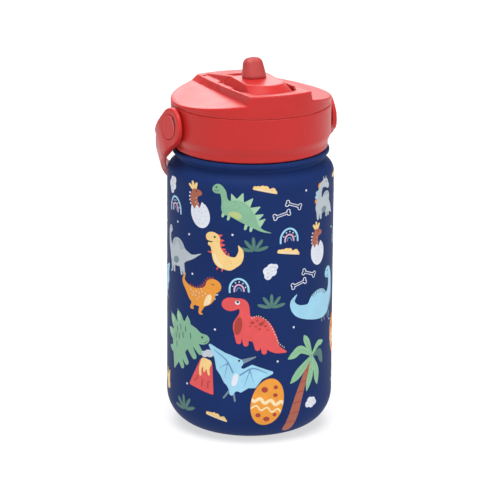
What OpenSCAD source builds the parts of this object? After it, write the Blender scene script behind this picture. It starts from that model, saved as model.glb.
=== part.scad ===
// Insulated kids' straw bottle: double-wall steel flask, screw lid,
// folding spout and a carry handle that swings over the lid.
// Origin at the centre of the base, +Z up, the front of the lid faces -Y,
// the handle pivots lie on the X axis.

/* [Bottle] */
// Outer radius of the straight wall
body_r = 36.5; // [36:0.1:37.5]
// Height at which the shoulder starts
shoulder_z = 115; // [112:0.5:116]
// Radius that rounds the bottom corner
foot_fillet = 15.3; // [13:0.1:16]
// Thickness of the outer steel wall
shell_wall = 0.8; // [0.6:0.1:1]
// Width of the vacuum gap
vacuum_gap = 3.2; // [2.6:0.1:3.4]
// Thickness of the inner steel wall
flask_wall = 0.7; // [0.5:0.1:0.8]
// Radius of the waist between shoulder and collar bead
waist_r = 32.5; // [32:0.1:33]
// Radius of the collar bead under the lid
bead_r = 34.4; // [34:0.1:34.8]
// Outer radius of the neck
neck_r = 30; // [29.8:0.1:30.2]
// Height of the mouth rim
mouth_z = 140; // [139.5:0.1:140]

/* [Screw thread] */
// Rise of the thread in one turn
thread_pitch = 4; // [4:0.1:4.4]
// Height of the thread ridge above the neck
thread_depth = 1.1; // [0.9:0.05:1.1]
// Turns of thread on the neck
neck_turns = 1.75; // [1:0.25:1.75]
// Turns of thread in the collar
collar_turns = 1.5; // [1:0.25:1.5]

/* [Lid] */
// Outer radius of the lid
lid_r = 35; // [34.8:0.1:35.3]
// Radius of the band along the lower edge
band_r = 33.65; // [33.4:0.05:33.8]
// Height of the lower edge of the lid
lid_z = 126.3; // [126.3:0.1:126.6]
// Height of the joint between collar and cover
split_z = 146; // [146:0.1:146.4]
// Height of the raised roof above the centre
roof_z = 154; // [153.8:0.1:154.2]
// Fall of the roof towards the back, in degrees
roof_fall = 3.85; // [3.6:0.05:4]
// Half width of the raised block's top at the front
block_half = 14.4; // [14.2:0.1:14.6]
// Half width of the raised block's top at the back
block_back = 11.6; // [11.4:0.1:12.4]
// Height of the raised block above the side facets, at the front
block_step = 4; // [3.8:0.1:4.2]
// Fall of the side facets towards the rim, in degrees
facet_fall = 9; // [8:0.5:9.5]

/* [Spout] */
// Distance of the spout pivot in front of the centre
spout_y = 3.2; // [3:0.1:3.4]
// Height of the spout pivot
pivot_z = 149.5; // [149.4:0.1:149.8]
// Radius of the spout hub
hub_r = 7; // [6.8:0.1:7]
// Height of the thumb plate's top
plate_z = 157.2; // [157:0.1:157.6]
// Half width of the thumb plate at its top
plate_half = 8.9; // [8.7:0.1:9]
// Height of the mouthpiece above the plate
nub_h = 8.6; // [8:0.1:9.4]

/* [Handle] */
// Height of the handle pivots
handle_z = 137.8; // [137.5:0.1:138]
// Radius of the round ears
ear_r = 8.2; // [7.8:0.1:8.6]
// Reach of the inside of the loop from the pivots
loop_reach = 56; // [56:0.1:60]
// Thickness of the strap
strap_t = 2.4; // [2.2:0.1:3]
// Half width of the strap at the far end of the loop
strap_half = 4.2; // [3.6:0.1:4.2]
// Outward flare of the ears along the arms, in degrees
ear_flare = 9; // [7:0.5:9.5]
// Angle of the stored loop below the horizontal, behind the bottle
handle_drop = 40; // [38:1:44]

/* [Straw] */
// Outer radius of the straw
straw_r = 4.3; // [4.3:0.05:4.5]
// Height of the straw's open lower end
straw_z = 9.5; // [9:0.5:14]

/* [Hidden] */

$fn = 96;
navy = [0.16, 0.23, 0.43];
steel = [0.75, 0.76, 0.78];
red = [0.80, 0.25, 0.24];
clear_white = [0.90, 0.91, 0.92];
silicone = [0.86, 0.86, 0.84];

body_cap = 160;                              // a height above everything
foot_r = body_r - foot_fillet;               // centre of the bottom corner arc
weld_angle = -81;                            // where shell and base are welded
recess_z = 1.2;                              // depth of the base disc's recess
flask_r = body_r - shell_wall - vacuum_gap;  // outside of the inner flask
flask_z = 6.3;                               // underside of the inner flask
flask_fillet = 10;
flask_shoulder_z = shoulder_z - 3.5;
mouth_r = 27.5;
rim_h = 0.8;
bore_r = neck_r + thread_depth + 0.5;        // inside of the collar
hook_r = neck_r + 0.4;                       // crest of the collar's thread
thread_z = 129;                              // middle of the neck thread's start
hook_drop = 1.45;                            // start of the collar's thread below the neck's
ridge_root = 0.85;                           // half height of a thread ridge at its root
ridge_crest = 0.45;                          // half height of a thread ridge at its crest
liner_z = 134;                               // underside of the liner's floor
liner_wall = 1.6;
valve_y = 16;                                // distance of the vent valve behind the centre
flange_z = 142;                              // underside of the liner's flange
skin = 2.2;                                  // thickness of the cover
seam = 0.15;                                 // bevel along the joint of collar and cover
plate_floor = 153.2;                         // underside of the thumb plate
ear_x = lid_r + 0.4;                         // inner face of the ears
ear_out = lid_r + 3.6;                       // outer face of the ears at the pivot
facet_back_fall = 2.35;                      // fall of the side facets towards the back
plate_foot = plate_half + 1.9;               // half width of the thumb plate at its foot
plate_back = 5.5 - spout_y;                  // back edge of the thumb plate's top
heel_r = 9.45;                               // round back of the thumb plate, about the pivot
spout_gap = 0.4;                             // room round the moving spout
front_y = 11;                                // centre of the plate's round front
front_foot_r = 15.3;                         // radius of the plate's front at its foot
pocket_half = 12.8;                          // half width of the pockets beside the plate
pin_r = 1.5;
pin_end = 14;                                // outer end of the spout pins
pin_start = 4.2;                             // inner end of the spout pins
pin_gap = 0.05;                              // play of the pins and of the rivets
duct_r = 3.05;                               // hole for the mouthpiece's stem
stem_r = 3;                                  // stem of the mouthpiece
drink_r = 1.8;                               // way for the drink through the mouthpiece
slit_w = 0.8;                                // slit in the mouthpiece's tip
cheek = 15.3;                                // half width of the solid part beside the spout
slot_w = 1.4;                                // width of the slots between rib and block
seat_x = lid_r + 2.2;                        // seat of the rivet's head in the ear
button_r = 5.2;
rivet_r = 2.6;
head_r = 4;
fullness = 2.05;                             // exponent of the loop's curve; 2 is an ellipse

// Points along an arc about (cx, cy) from angle a0 to a1
function arc(cx, cy, r, a0, a1, n = 10) =
    [for (i = [0:n]) [cx + r * cos(a0 + (a1 - a0) * i / n), cy + r * sin(a0 + (a1 - a0) * i / n)]];

// ---------- helpers ----------

// Cylinder along X, centred on x = 0
module x_cyl(r, half, y, z, fn = 72) {
    translate([-half, y, z]) rotate([0, 90, 0]) cylinder(r = r, h = 2 * half, $fn = fn);
}

// Cylinder along X between two distances on one side (side = -1 or 1)
module x_stub(side, r, near, far, y, z) {
    start = side > 0 ? near : -far;
    translate([start, y, z]) rotate([0, 90, 0]) cylinder(r = r, h = far - near, $fn = 72);
}

// Prism along X from a Y-Z outline
module x_prism(points, half) {
    translate([-half, 0, 0]) rotate([90, 0, 90]) linear_extrude(height = 2 * half) polygon(points);
}

// Prism along Y from an X-Z outline
module y_prism(points, y0, y1) {
    translate([0, y1, 0]) rotate([90, 0, 0]) linear_extrude(height = y1 - y0) polygon(points);
}

// Helical ridge: the buried side at root radius, the free side at crest radius
module helix_ridge(root, crest, start_z, turns, root_half, crest_half) {
    steps = round(48 * turns);
    lead = 5;
    rise = function (i) min(1, 0.25 + 0.75 * min(i, steps - i) / lead);
    ring = [for (i = [0:steps])
        let (a = 360 * turns * i / steps,
             z = start_z + thread_pitch * turns * i / steps,
             tip = root + (crest - root) * rise(i))
        each [[root * cos(a), root * sin(a), z - root_half],
              [tip * cos(a), tip * sin(a), z - crest_half],
              [tip * cos(a), tip * sin(a), z + crest_half],
              [root * cos(a), root * sin(a), z + root_half]]];
    flip = crest < root;
    side = [for (i = [0:steps - 1], j = [0:3])
        let (a = 4 * i + j, b = 4 * i + (j + 1) % 4)
        each [[a, b, a + 4], [b, b + 4, a + 4]]];
    last = 4 * steps;
    ends = [[0, 2, 1], [0, 3, 2], [last, last + 1, last + 2], [last, last + 2, last + 3]];
    faces = [for (f = concat(side, ends)) flip ? [f[0], f[2], f[1]] : f];
    polyhedron(points = ring, faces = faces, convexity = 6);
}

// ---------- bottle ----------

module outer_shell() {
    bend_r = 5.5;
    bend_x = body_r - bend_r;
    outside = concat(
        arc(foot_r, foot_fillet, foot_fillet, weld_angle, 0, 16),
        arc(bend_x, shoulder_z, bend_r, 0, 66, 10),
        [[waist_r, shoulder_z + 6.9], [waist_r, shoulder_z + 7.7],
         [bead_r - 0.6, shoulder_z + 8.7], [bead_r, shoulder_z + 9.4],
         [bead_r, shoulder_z + 10.4], [bead_r - 0.5, shoulder_z + 11],
         [neck_r, shoulder_z + 11], [neck_r, mouth_z - rim_h]]);
    inside = concat(
        [[neck_r - shell_wall, mouth_z - rim_h], [neck_r - shell_wall, shoulder_z + 6.2],
         [waist_r - shell_wall, shoulder_z + 6.2]],
        arc(bend_x, shoulder_z, bend_r - shell_wall, 64, 0, 10),
        arc(foot_r, foot_fillet, foot_fillet - shell_wall, 0, weld_angle, 16));
    color(navy) {
        rotate_extrude($fn = 120) polygon(concat(outside, inside));
        helix_ridge(neck_r - 0.4, neck_r + thread_depth, thread_z, neck_turns, ridge_root, ridge_crest);
    }
}

module outer_base() {
    recess_r = 18.4;
    profile = concat(
        [[1.5, recess_z], [recess_r, recess_z], [recess_r, 0.6], [recess_r + 0.6, 0]],
        arc(foot_r, foot_fillet, foot_fillet, -90, weld_angle, 3),
        arc(foot_r, foot_fillet, foot_fillet - shell_wall, weld_angle, -90, 3),
        [[recess_r + 1.6, shell_wall], [recess_r + 0.8, recess_z + shell_wall],
         [1.5, recess_z + shell_wall]]);
    color(steel) rotate_extrude() polygon(profile);
}

module base_disc() {
    color(steel) cylinder(r = 17.8, h = recess_z);
}

module vacuum_seal() {
    color("gray") translate([0, 0, recess_z]) rotate_extrude($fn = 48)
        polygon([[0, 0.1], [1.4, 0.1], [1.4, shell_wall], [4, shell_wall], [3.4, 1.7], [0, 2]]);
}

module getter_pellet() {
    color("dimgray") translate([14, 0, flask_z - 1.4]) cylinder(r = 5, h = 1.4, $fn = 48);
}

module inner_flask() {
    bend_r = 6;
    bend_x = flask_r - bend_r;
    neck_out = mouth_r + flask_wall;
    outside = concat(
        [[0, flask_z]],
        arc(flask_r - flask_fillet, flask_z + flask_fillet, flask_fillet, -90, 0, 10),
        arc(bend_x, flask_shoulder_z, bend_r, 0, 60, 8),
        [[neck_out, flask_shoulder_z + 7.6], [neck_out, mouth_z - rim_h],
         [neck_r, mouth_z - rim_h], [neck_r, mouth_z - 0.4], [neck_r - 0.4, mouth_z]]);
    inside = concat(
        [[mouth_r + 0.4, mouth_z], [mouth_r, mouth_z - 0.4], [mouth_r, flask_shoulder_z + 7.4]],
        arc(bend_x, flask_shoulder_z, bend_r - flask_wall, 60, 0, 8),
        arc(flask_r - flask_fillet, flask_z + flask_fillet, flask_fillet - flask_wall, 0, -90, 10),
        [[0, flask_z + flask_wall]]);
    color(steel) rotate_extrude($fn = 120) polygon(concat(outside, inside));
}

// ---------- lid ----------

module lid_gasket() {
    low = mouth_z + 0.1;
    color(silicone) rotate_extrude()
        polygon([[27.2, low + 0.3], [27.5, low], [30.4, low], [30.8, low + 0.4],
                 [30.8, flange_z], [27.2, flange_z]]);
}

module lid_collar() {
    profile = [[bore_r + 0.6, lid_z], [band_r - 0.5, lid_z], [band_r, lid_z + 0.5],
               [band_r, lid_z + 3], [lid_r, lid_z + 6.2], [lid_r, split_z - seam],
               [lid_r - seam, split_z], [bore_r, split_z], [bore_r, lid_z + 0.6]];
    socket_x = lid_r - 2.4;
    color(red) difference() {
        union() {
            rotate_extrude($fn = 120) polygon(profile);
            helix_ridge(bore_r + 0.4, hook_r, thread_z - hook_drop, collar_turns,
                        ridge_root, ridge_crest);
            for (side = [-1, 1])
                x_stub(side, 5, lid_r - 1.6, ear_x - 0.1, 0, handle_z);
        }
        for (side = [-1, 1])
            x_stub(side, rivet_r, socket_x, ear_x + 1, 0, handle_z);
    }
}

// Height of the roof at y
function roof_at(y) = roof_z - y * tan(roof_fall);

// Height at y of the line where the side facets meet the block
function facet_at(y) = roof_at(-32) - block_step - (y + 32) * tan(facet_back_fall);

// Half width of the block's top at y, drawn in towards the back
function block_half_at(y) =
    block_half - (block_half - block_back) * pow(max(0, (y + 10) / 42), 2);

// Raised block, shrunk by inset, as sections joined along Y
module raised_block(inset) {
    ys = [for (i = [0:9]) -40 + 80 * i / 9];
    foot = block_half + 0.8 - inset;
    points = [for (y = ys)
        let (top = roof_at(y) - inset, low = facet_at(y) - inset, half = block_half_at(y) - inset)
        each [[-foot, y, 140], [foot, y, 140], [foot, y, low], [half, y, top],
              [-half, y, top], [-foot, y, low]]];
    last = 6 * (len(ys) - 1);
    sides = [for (i = [0:len(ys) - 2], j = [0:5])
        let (a = 6 * i + j, b = 6 * i + (j + 1) % 6)
        each [[a, b, a + 6], [b, b + 6, a + 6]]];
    front = [for (j = [1:4]) [0, j + 1, j]];
    back = [for (j = [1:4]) [last, last + j, last + j + 1]];
    polyhedron(points = points, faces = concat(sides, front, back), convexity = 4);
}

// Outer form of the cover, shrunk by inset on every side but the bottom
module cover_form(inset, low) {
    side_x = 40;
    foot = block_half + 0.8;
    ridge = foot * tan(facet_fall);
    facet_drop = (side_x - foot) * tan(facet_fall);
    intersection() {
        rotate_extrude($fn = 120)
            polygon([[0, low], [lid_r - seam - inset, low], [lid_r - inset, low + seam],
                     [lid_r - inset, body_cap], [0, body_cap]]);
        union() {
            raised_block(inset);
            translate([0, 0, facet_at(0) - inset]) rotate([-facet_back_fall, 0, 0])
                y_prism([[-side_x, -25], [side_x, -25], [side_x, -facet_drop], [0, ridge],
                         [-side_x, -facet_drop]], -45, 45);
        }
    }
}

// Raised rib behind the spout, in line with the thumb plate
module saddle() {
    back_y = 29;
    fall = 9.8;
    translate([0, plate_back, plate_z]) rotate([-fall, 0, 0])
        y_prism([[-plate_foot, -plate_z + plate_floor], [plate_foot, -plate_z + plate_floor],
                 [plate_half, 0], [-plate_half, 0]], -6, back_y - plate_back);
}

// Space swept by the hub and by the back edge of the thumb plate
module spout_room() {
    hub_room = hub_r + spout_gap;
    sweep_r = heel_r + spout_gap;
    width = plate_foot + spout_gap;
    x_cyl(hub_room, width, -spout_y, pivot_z);
    intersection() {
        x_cyl(sweep_r, width, -spout_y, pivot_z);
        translate([-20, -spout_y, 130]) cube([40, 40, 40]);
    }
    translate([-width, -spout_y - hub_room, 130]) cube([2 * width, 2 * hub_room, pivot_z - 130]);
}

// Slot in which the thumb plate lies, with deeper pockets beside its front half
module plate_room() {
    half = plate_foot + spout_gap;
    floor_z = plate_floor - spout_gap;
    pocket_y0 = -19.5;
    pocket_y1 = -8;
    pocket_depth = 1.6;
    intersection() {
        translate([0, -front_y, floor_z]) cylinder(r = front_foot_r + spout_gap, h = 20);
        translate([-half, -40, floor_z]) cube([2 * half, 41 - spout_y, 20]);
    }
    translate([-half, -front_y - 1, floor_z]) cube([2 * half, front_y + 2 - spout_y, 20]);
    translate([-pocket_half, pocket_y0, floor_z - pocket_depth])
        cube([2 * pocket_half, pocket_y1 - pocket_y0, 20]);
}

// Trough that takes the folded mouthpiece
module nub_trough() {
    trough_half = 5.8;
    trough_z = pivot_z - 1.8;
    x_prism([[0, trough_z], [4.9, trough_z], [12.8, trough_z + 1.9], [14.6, trough_z + 3.7],
             [17.6, trough_z + 14.3], [0, trough_z + 14.3]], trough_half);
}

// Shallow inward dish along the front lip
module front_dish() {
    intersection() {
        rotate_extrude()
            polygon([[20, 154.1], [26.7, 155], [34.4, roof_at(-34.4) - 0.02], [34.4, 165], [20, 165]]);
        translate([-plate_foot, -36, 150]) cube([2 * plate_foot, 16, 20]);
    }
}

module lid_cover() {
    cheek_y = -spout_y - 9.5;
    cheek_length = 30.5;
    slot_x = plate_foot + spout_gap;
    skirt_r = bore_r - 0.1;
    skirt_in = 29.4;
    color(red) difference() {
        union() {
            difference() {
                cover_form(0, split_z);
                cover_form(skin, split_z - 5);
            }
            rotate_extrude($fn = 120)
                polygon([[skirt_in, flange_z + liner_wall], [skirt_r, flange_z + liner_wall],
                         [skirt_r, split_z], [lid_r - 1.5, split_z], [lid_r - 1.5, split_z + 2],
                         [skirt_in, split_z + 2]]);
            intersection() {
                cover_form(0.1, split_z - 1);
                translate([-cheek, cheek_y, split_z - 1]) cube([2 * cheek, cheek_length, 12]);
            }
            intersection() {
                saddle();
                cylinder(r = lid_r - 3, h = 200);
            }
        }
        spout_room();
        plate_room();
        nub_trough();
        front_dish();
        for (side = [-1, 1])
            x_stub(side, pin_r, plate_foot, pin_end, -spout_y, pivot_z);
        for (side = [-1, 1])
            translate([side * slot_x - slot_w / 2, 6.5, split_z + 2]) cube([slot_w, 3, 20]);
        for (side = [-1, 1])
            translate([side * (slot_x - slot_w / 2) - slot_w / 2, 26.4, split_z + 2])
                cube([slot_w, 2.6, 20]);
    }
}

module lid_liner() {
    cup_r = 26.8;
    floor_top = liner_z + liner_wall;
    vent_ring = 2.7;
    color(clear_white) difference() {
        union() {
            rotate_extrude($fn = 120)
                polygon([[0, liner_z], [cup_r - 1, liner_z], [cup_r, liner_z + 1],
                         [cup_r, flange_z], [bore_r - 0.3, flange_z],
                         [bore_r - 0.3, flange_z + liner_wall],
                         [cup_r - liner_wall, flange_z + liner_wall],
                         [cup_r - liner_wall, floor_top], [0, floor_top]]);
            translate([0, -spout_y, liner_z]) cylinder(r = 7, h = 6.6);
            translate([0, -spout_y, liner_z - 3]) cylinder(r = 5.6, h = 3.5);
        }
        translate([0, -spout_y, floor_top]) cylinder(r = 5.55, h = 10);
        translate([0, -spout_y, liner_z - 5]) cylinder(r = 3.55, h = 10);
        translate([0, -spout_y, liner_z - 5]) cylinder(r = straw_r + 0.05, h = 4.2);
        translate([0, valve_y, liner_z - 1]) cylinder(r = 1.3, h = 4, $fn = 32);
        for (a = [0, 120, 240])
            translate([vent_ring * cos(a), valve_y + vent_ring * sin(a), liner_z - 1])
                cylinder(r = 0.6, h = 4, $fn = 24);
    }
}

module port_seal() {
    low = liner_z + liner_wall + 1.5;
    color(silicone) difference() {
        translate([0, -spout_y, low]) cylinder(r = 5.5, h = 143.2 - low);
        translate([0, -spout_y, low - 1]) cylinder(r = 2.2, h = 20);
        x_cyl(hub_r + 0.1, 8, -spout_y, pivot_z);
    }
}

module straw_connector() {
    low = 122;
    color(clear_white) translate([0, -spout_y, 0]) difference() {
        union() {
            translate([0, 0, low]) cylinder(r = 3.5, h = liner_z + liner_wall - low);
            translate([0, 0, liner_z + liner_wall]) cylinder(r = 5.4, h = 1.5);
        }
        translate([0, 0, low - 1]) cylinder(r = 2.4, h = 20);
    }
}

module straw() {
    top = liner_z - 1;
    color([0.95, 0.96, 0.97]) translate([0, -spout_y, straw_z]) difference() {
        cylinder(r = straw_r, h = top - straw_z);
        translate([0, 0, -1]) cylinder(r = 3.5, h = top);
        for (a = [0, 90])
            rotate([0, 0, a]) translate([-6, -1, -1]) cube([12, 2, 2.6]);
    }
}

module vent_valve() {
    color(silicone) translate([0, valve_y, 0]) rotate_extrude($fn = 48)
        polygon([[0, liner_z - 1.4], [2, liner_z - 1.3], [4.4, liner_z - 0.5], [4.4, liner_z],
                 [1.2, liner_z], [1.2, liner_z + liner_wall], [1.8, liner_z + liner_wall],
                 [1.5, liner_z + liner_wall + 1.4], [0, liner_z + liner_wall + 1.8]]);
}

// ---------- spout ----------

module spout_pin(side) {
    color(steel) x_stub(side, pin_r, pin_start, pin_end, -spout_y, pivot_z);
}

module spout_pin_left() {
    spout_pin(-1);
}

module spout_pin_right() {
    spout_pin(1);
}

// Thumb plate on a hub, with a heel that stays round the pivot as it folds
module spout_rocker() {
    heel_y = heel_r - spout_y;
    hub_top = plate_floor + 0.2;
    room = 20;
    color(red) difference() {
        union() {
            intersection() {
                x_cyl(hub_r, plate_foot - 0.1, -spout_y, pivot_z);
                translate([-room, -room, hub_top - room]) cube([2 * room, 2 * room, room]);
            }
            intersection() {
                y_prism([[-plate_foot, plate_floor], [plate_foot, plate_floor],
                         [plate_half, plate_z], [-plate_half, plate_z]], -spout_y, heel_y);
                x_cyl(heel_r, plate_foot + 1, -spout_y, pivot_z);
            }
            intersection() {
                y_prism([[-plate_foot, plate_floor], [plate_foot, plate_floor],
                         [plate_half, plate_z], [-plate_half, plate_z]], -35, 0);
                union() {
                    translate([0, -front_y, 0]) rotate_extrude($fn = 120)
                        polygon([[0, plate_floor], [front_foot_r, plate_floor],
                                 [front_foot_r, plate_floor + 0.4], [plate_half + 0.6, plate_z - 0.15],
                                 [plate_half, plate_z], [0, plate_z]]);
                    translate([-room, -front_y, plate_floor - 1]) cube([2 * room, 2 * room, room]);
                }
            }
        }
        translate([0, -spout_y, pivot_z - 10]) cylinder(r = duct_r, h = 30, $fn = 64);
        for (side = [-1, 1])
            x_stub(side, pin_r + pin_gap, pin_start - 0.3, pin_end, -spout_y, pivot_z);
    }
}

// Soft mouthpiece: an oval nub that leans back a little, on a round stem
module mouthpiece() {
    low = pivot_z - hub_r + 0.7;
    top = plate_z + nub_h;
    lean = 1.4;
    foot_half = 4.1;
    tip_half = 3.3;
    tip_x = 1.3;
    slit_l = 3;
    color([0.78, 0.27, 0.25]) translate([0, -spout_y, 0]) difference() {
        union() {
            translate([0, 0, low]) cylinder(r = stem_r, h = plate_z + 1 - low, $fn = 64);
            hull() {
                for (x = [-tip_x, tip_x]) {
                    translate([x, 0, plate_z + 0.05]) cylinder(r = foot_half, h = 1, $fn = 32);
                    translate([x, lean, top - tip_half]) sphere(r = tip_half, $fn = 32);
                }
            }
        }
        translate([0, 0, low - 1]) cylinder(r = drink_r, h = top - low - 1.5, $fn = 48);
        translate([-slit_l / 2, lean - slit_w / 2, top - 4]) cube([slit_l, slit_w, 6]);
    }
}

// ---------- handle ----------

// Distance from the axis of the outer face of an ear, at a distance s along the arm
function ear_face(s) = ear_out + s * tan(ear_flare);

// Shoulder rivet on which an ear turns
module handle_pivot(side) {
    color(steel) {
        x_stub(side, rivet_r, lid_r - 2.4, seat_x + 0.1, 0, handle_z);
        x_stub(side, head_r, seat_x + 0.1, seat_x + 0.6, 0, handle_z);
    }
}

module handle_pivot_left() {
    handle_pivot(-1);
}

module handle_pivot_right() {
    handle_pivot(1);
}

// Turns a shape from the handle's own plane to its stored place
module stored() {
    translate([0, 0, handle_z]) rotate([-handle_drop, 0, 0]) children();
}

// Round cap over the rivet, its face parallel to the outside of the ear
module handle_cap(side) {
    proud = 0.2;
    color(red) stored() mirror([side < 0 ? 1 : 0, 0, 0]) intersection() {
        x_stub(1, button_r, seat_x + 0.7, seat_x + 6, 0, 0);
        translate([0, 0, -20]) linear_extrude(height = 40)
            polygon([[30, -12], [ear_face(-12) + proud, -12], [ear_face(12) + proud, 12], [30, 12]]);
    }
}

module handle_cap_left() {
    handle_cap(-1);
}

module handle_cap_right() {
    handle_cap(1);
}

// Side of the loop from the distance start out to the reach, a little fuller than an ellipse
function loop_side(half, reach, start, n) =
    [for (i = [0:n])
        let (a0 = asin(start / reach), share = i == n ? 1 : sin(a0 + (90 - a0) * i / n))
        [half * pow(max(0, 1 - pow(share, fullness)), 1 / fullness), reach * share]];

module handle_loop() {
    n = 24;
    in_half = body_r + 0.5;
    out_reach = loop_reach + strap_t;
    start = 18;
    ear_top = 12;
    flare_end = 7.5;
    outer = loop_side(in_half + strap_t, out_reach, start, n);
    inner = loop_side(in_half, loop_reach, start, n);
    half_outline = concat([[ear_x, -ear_top], [ear_face(-ear_top), -ear_top],
                           [ear_face(flare_end), flare_end],
                           [ear_face(flare_end) - 0.1, flare_end + 3.5],
                           [ear_face(flare_end) - 0.6, flare_end + 7]],
                          outer, [for (i = [n:-1:0]) inner[i]], [[ear_x, ear_r]]);
    arm_end = 34;
    arm = [[0, ear_r], [arm_end, strap_half], [out_reach + 2, strap_half],
           [out_reach + 2, -strap_half], [arm_end, -strap_half], [0, -ear_r]];
    color(red) stored() difference() {
        intersection() {
            for (side = [0, 1])
                mirror([side, 0, 0]) translate([0, 0, -20]) linear_extrude(height = 40)
                    polygon(half_outline);
            union() {
                x_cyl(ear_r, 60, 0, 0);
                x_prism(arm, 60);
            }
        }
        x_cyl(rivet_r + pin_gap + 0.01, 60, 0, 0);
        for (side = [-1, 1])
            x_stub(side, button_r, seat_x, 60, 0, 0);
    }
}

outer_shell();
outer_base();
inner_flask();
base_disc();
vacuum_seal();
getter_pellet();
lid_gasket();
lid_collar();
lid_cover();
lid_liner();
port_seal();
straw_connector();
straw();
vent_valve();
spout_pin_left();
spout_pin_right();
spout_rocker();
mouthpiece();
handle_pivot_left();
handle_pivot_right();
handle_cap_left();
handle_cap_right();
handle_loop();
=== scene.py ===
"""Looks of the insulated kids' straw bottle: a powder-coated body with a wrapped print,
a moulded lid with softened edges, and procedural materials on every piece."""

import math

import bpy
import numpy as np
from mathutils import Matrix, Vector


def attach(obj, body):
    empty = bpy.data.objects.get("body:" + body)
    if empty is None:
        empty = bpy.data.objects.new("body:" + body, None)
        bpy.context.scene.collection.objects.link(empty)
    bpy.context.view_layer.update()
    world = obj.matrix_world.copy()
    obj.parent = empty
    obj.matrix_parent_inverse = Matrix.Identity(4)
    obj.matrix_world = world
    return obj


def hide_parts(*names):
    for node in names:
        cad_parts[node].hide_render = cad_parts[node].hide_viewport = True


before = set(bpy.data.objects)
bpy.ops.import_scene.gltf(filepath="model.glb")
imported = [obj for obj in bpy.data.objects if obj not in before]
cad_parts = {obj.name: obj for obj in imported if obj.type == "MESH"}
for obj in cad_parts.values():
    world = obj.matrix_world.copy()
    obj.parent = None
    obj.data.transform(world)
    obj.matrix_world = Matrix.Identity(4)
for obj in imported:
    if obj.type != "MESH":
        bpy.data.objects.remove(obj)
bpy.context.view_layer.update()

MM = 0.001
SCENE = bpy.context.scene

# --- sizes in millimetres, in the frame of the CAD ---

BODY_R = 36.5  # straight wall
FOOT_FILLET = 15.3  # bottom corner
FOOT_R = BODY_R - FOOT_FILLET
SHOULDER_Z = 115.0
SHELL_WALL = 0.8
WELD_ANGLE = -81.0  # where the shell meets the base, round the bottom corner
WAIST_R = 32.5
BEAD_R = 34.4
NECK_R = 30.0
RIM_Z = 139.2
THREAD_Z = 129.0
THREAD_PITCH = 4.0
THREAD_DEPTH = 1.1
NECK_TURNS = 1.75
THREAD_STEPS = 64  # facets in each turn of the thread
ROUND_STEPS = 192  # facets round the body
SHELL_CREASE = 40  # degrees between faces, above which an edge stays sharp
NODE_CREASE = 32

VIEW_TURN = math.radians(-23.5)  # round from the lid's front: the camera, and the middle of the print
VIEW_RISE = math.radians(16.26)  # the camera's elevation
VIEW_ROLL = math.radians(-0.39)
VIEW_DISTANCE = 1.556  # in metres, like the next
VIEW_HEIGHT = 0.0783  # of the point that the camera looks at
VIEW_SENSOR = 36.0
VIEW_LENS = 254.4

INK = 0.05  # height of the first ink layer over the coat
INK_STEP = 0.02  # height of each further layer
INK_CELL = 1.2  # largest facet inside a printed shape
INK_SPLIT = 4  # finer cells along its edge
INK_TONE = 0.84  # how dark the inks are beside their pure colours

WORLD_LIGHT = 0.3  # brightness of the surroundings
KEY_LIGHT = 3.6  # soft light from above
FILL_LIGHT = 0.7  # soft light from before the bottle
TABLE_LIGHT = 0.62  # glow of the light table on which the bottle stands
BACK_LIGHT = 4.4  # panel behind, which the lid's top reflects
SUN_SPREAD = 50  # width in degrees of both soft lights

# --- mesh helpers ---


def make_object(name, points, faces, normals=None):
    """A mesh object from points in millimetres, shaded smooth."""
    mesh = bpy.data.meshes.new(name)
    mesh.from_pydata((np.asarray(points) * MM).tolist(), [], [list(f) for f in faces])
    mesh.shade_smooth()
    mesh.update()
    if normals is not None:
        mesh.normals_split_custom_set_from_vertices(np.asarray(normals).tolist())
    obj = bpy.data.objects.new(name, mesh)
    SCENE.collection.objects.link(obj)
    return obj


def arc(cx, cy, radius, start, end, steps):
    """Points along an arc, angles in degrees."""
    angles = np.radians(np.linspace(start, end, steps + 1))
    return [(cx + radius * math.cos(a), cy + radius * math.sin(a)) for a in angles]


def revolve(profile, segments):
    """Points and faces of a closed profile of (radius, height) turned about the Z axis."""
    profile = np.asarray(profile, float)
    count = len(profile)
    turn = np.linspace(0, 2 * math.pi, segments, endpoint=False)
    r, z = profile[:, 0], profile[:, 1]
    points = np.stack([np.outer(np.cos(turn), r), np.outer(np.sin(turn), r), np.tile(z, (segments, 1))], -1)
    faces = []
    for i in range(segments):
        a, b = i * count, (i + 1) % segments * count
        for j in range(count):
            k = (j + 1) % count
            faces.append((a + j, b + j, b + k, a + k))
    return points.reshape(-1, 3), faces


def rounded(corners, radius):
    """An open outline with its inner corners rounded off."""
    steps = 4
    out = [corners[0]]
    for three in zip(corners, corners[1:], corners[2:]):
        p, q, s = (Vector((*c, 0)) for c in three)
        back, on = p - q, s - q
        reach = min(radius, back.length * 0.45, on.length * 0.45)
        start, end = q + back.normalized() * reach, q + on.normalized() * reach
        for i in range(steps + 1):
            t = i / steps
            m = start * (1 - t) ** 2 + q * 2 * t * (1 - t) + end * t * t
            out.append((m.x, m.y))
    out.append(corners[-1])
    return out


# --- flat shapes for the print ---


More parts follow.
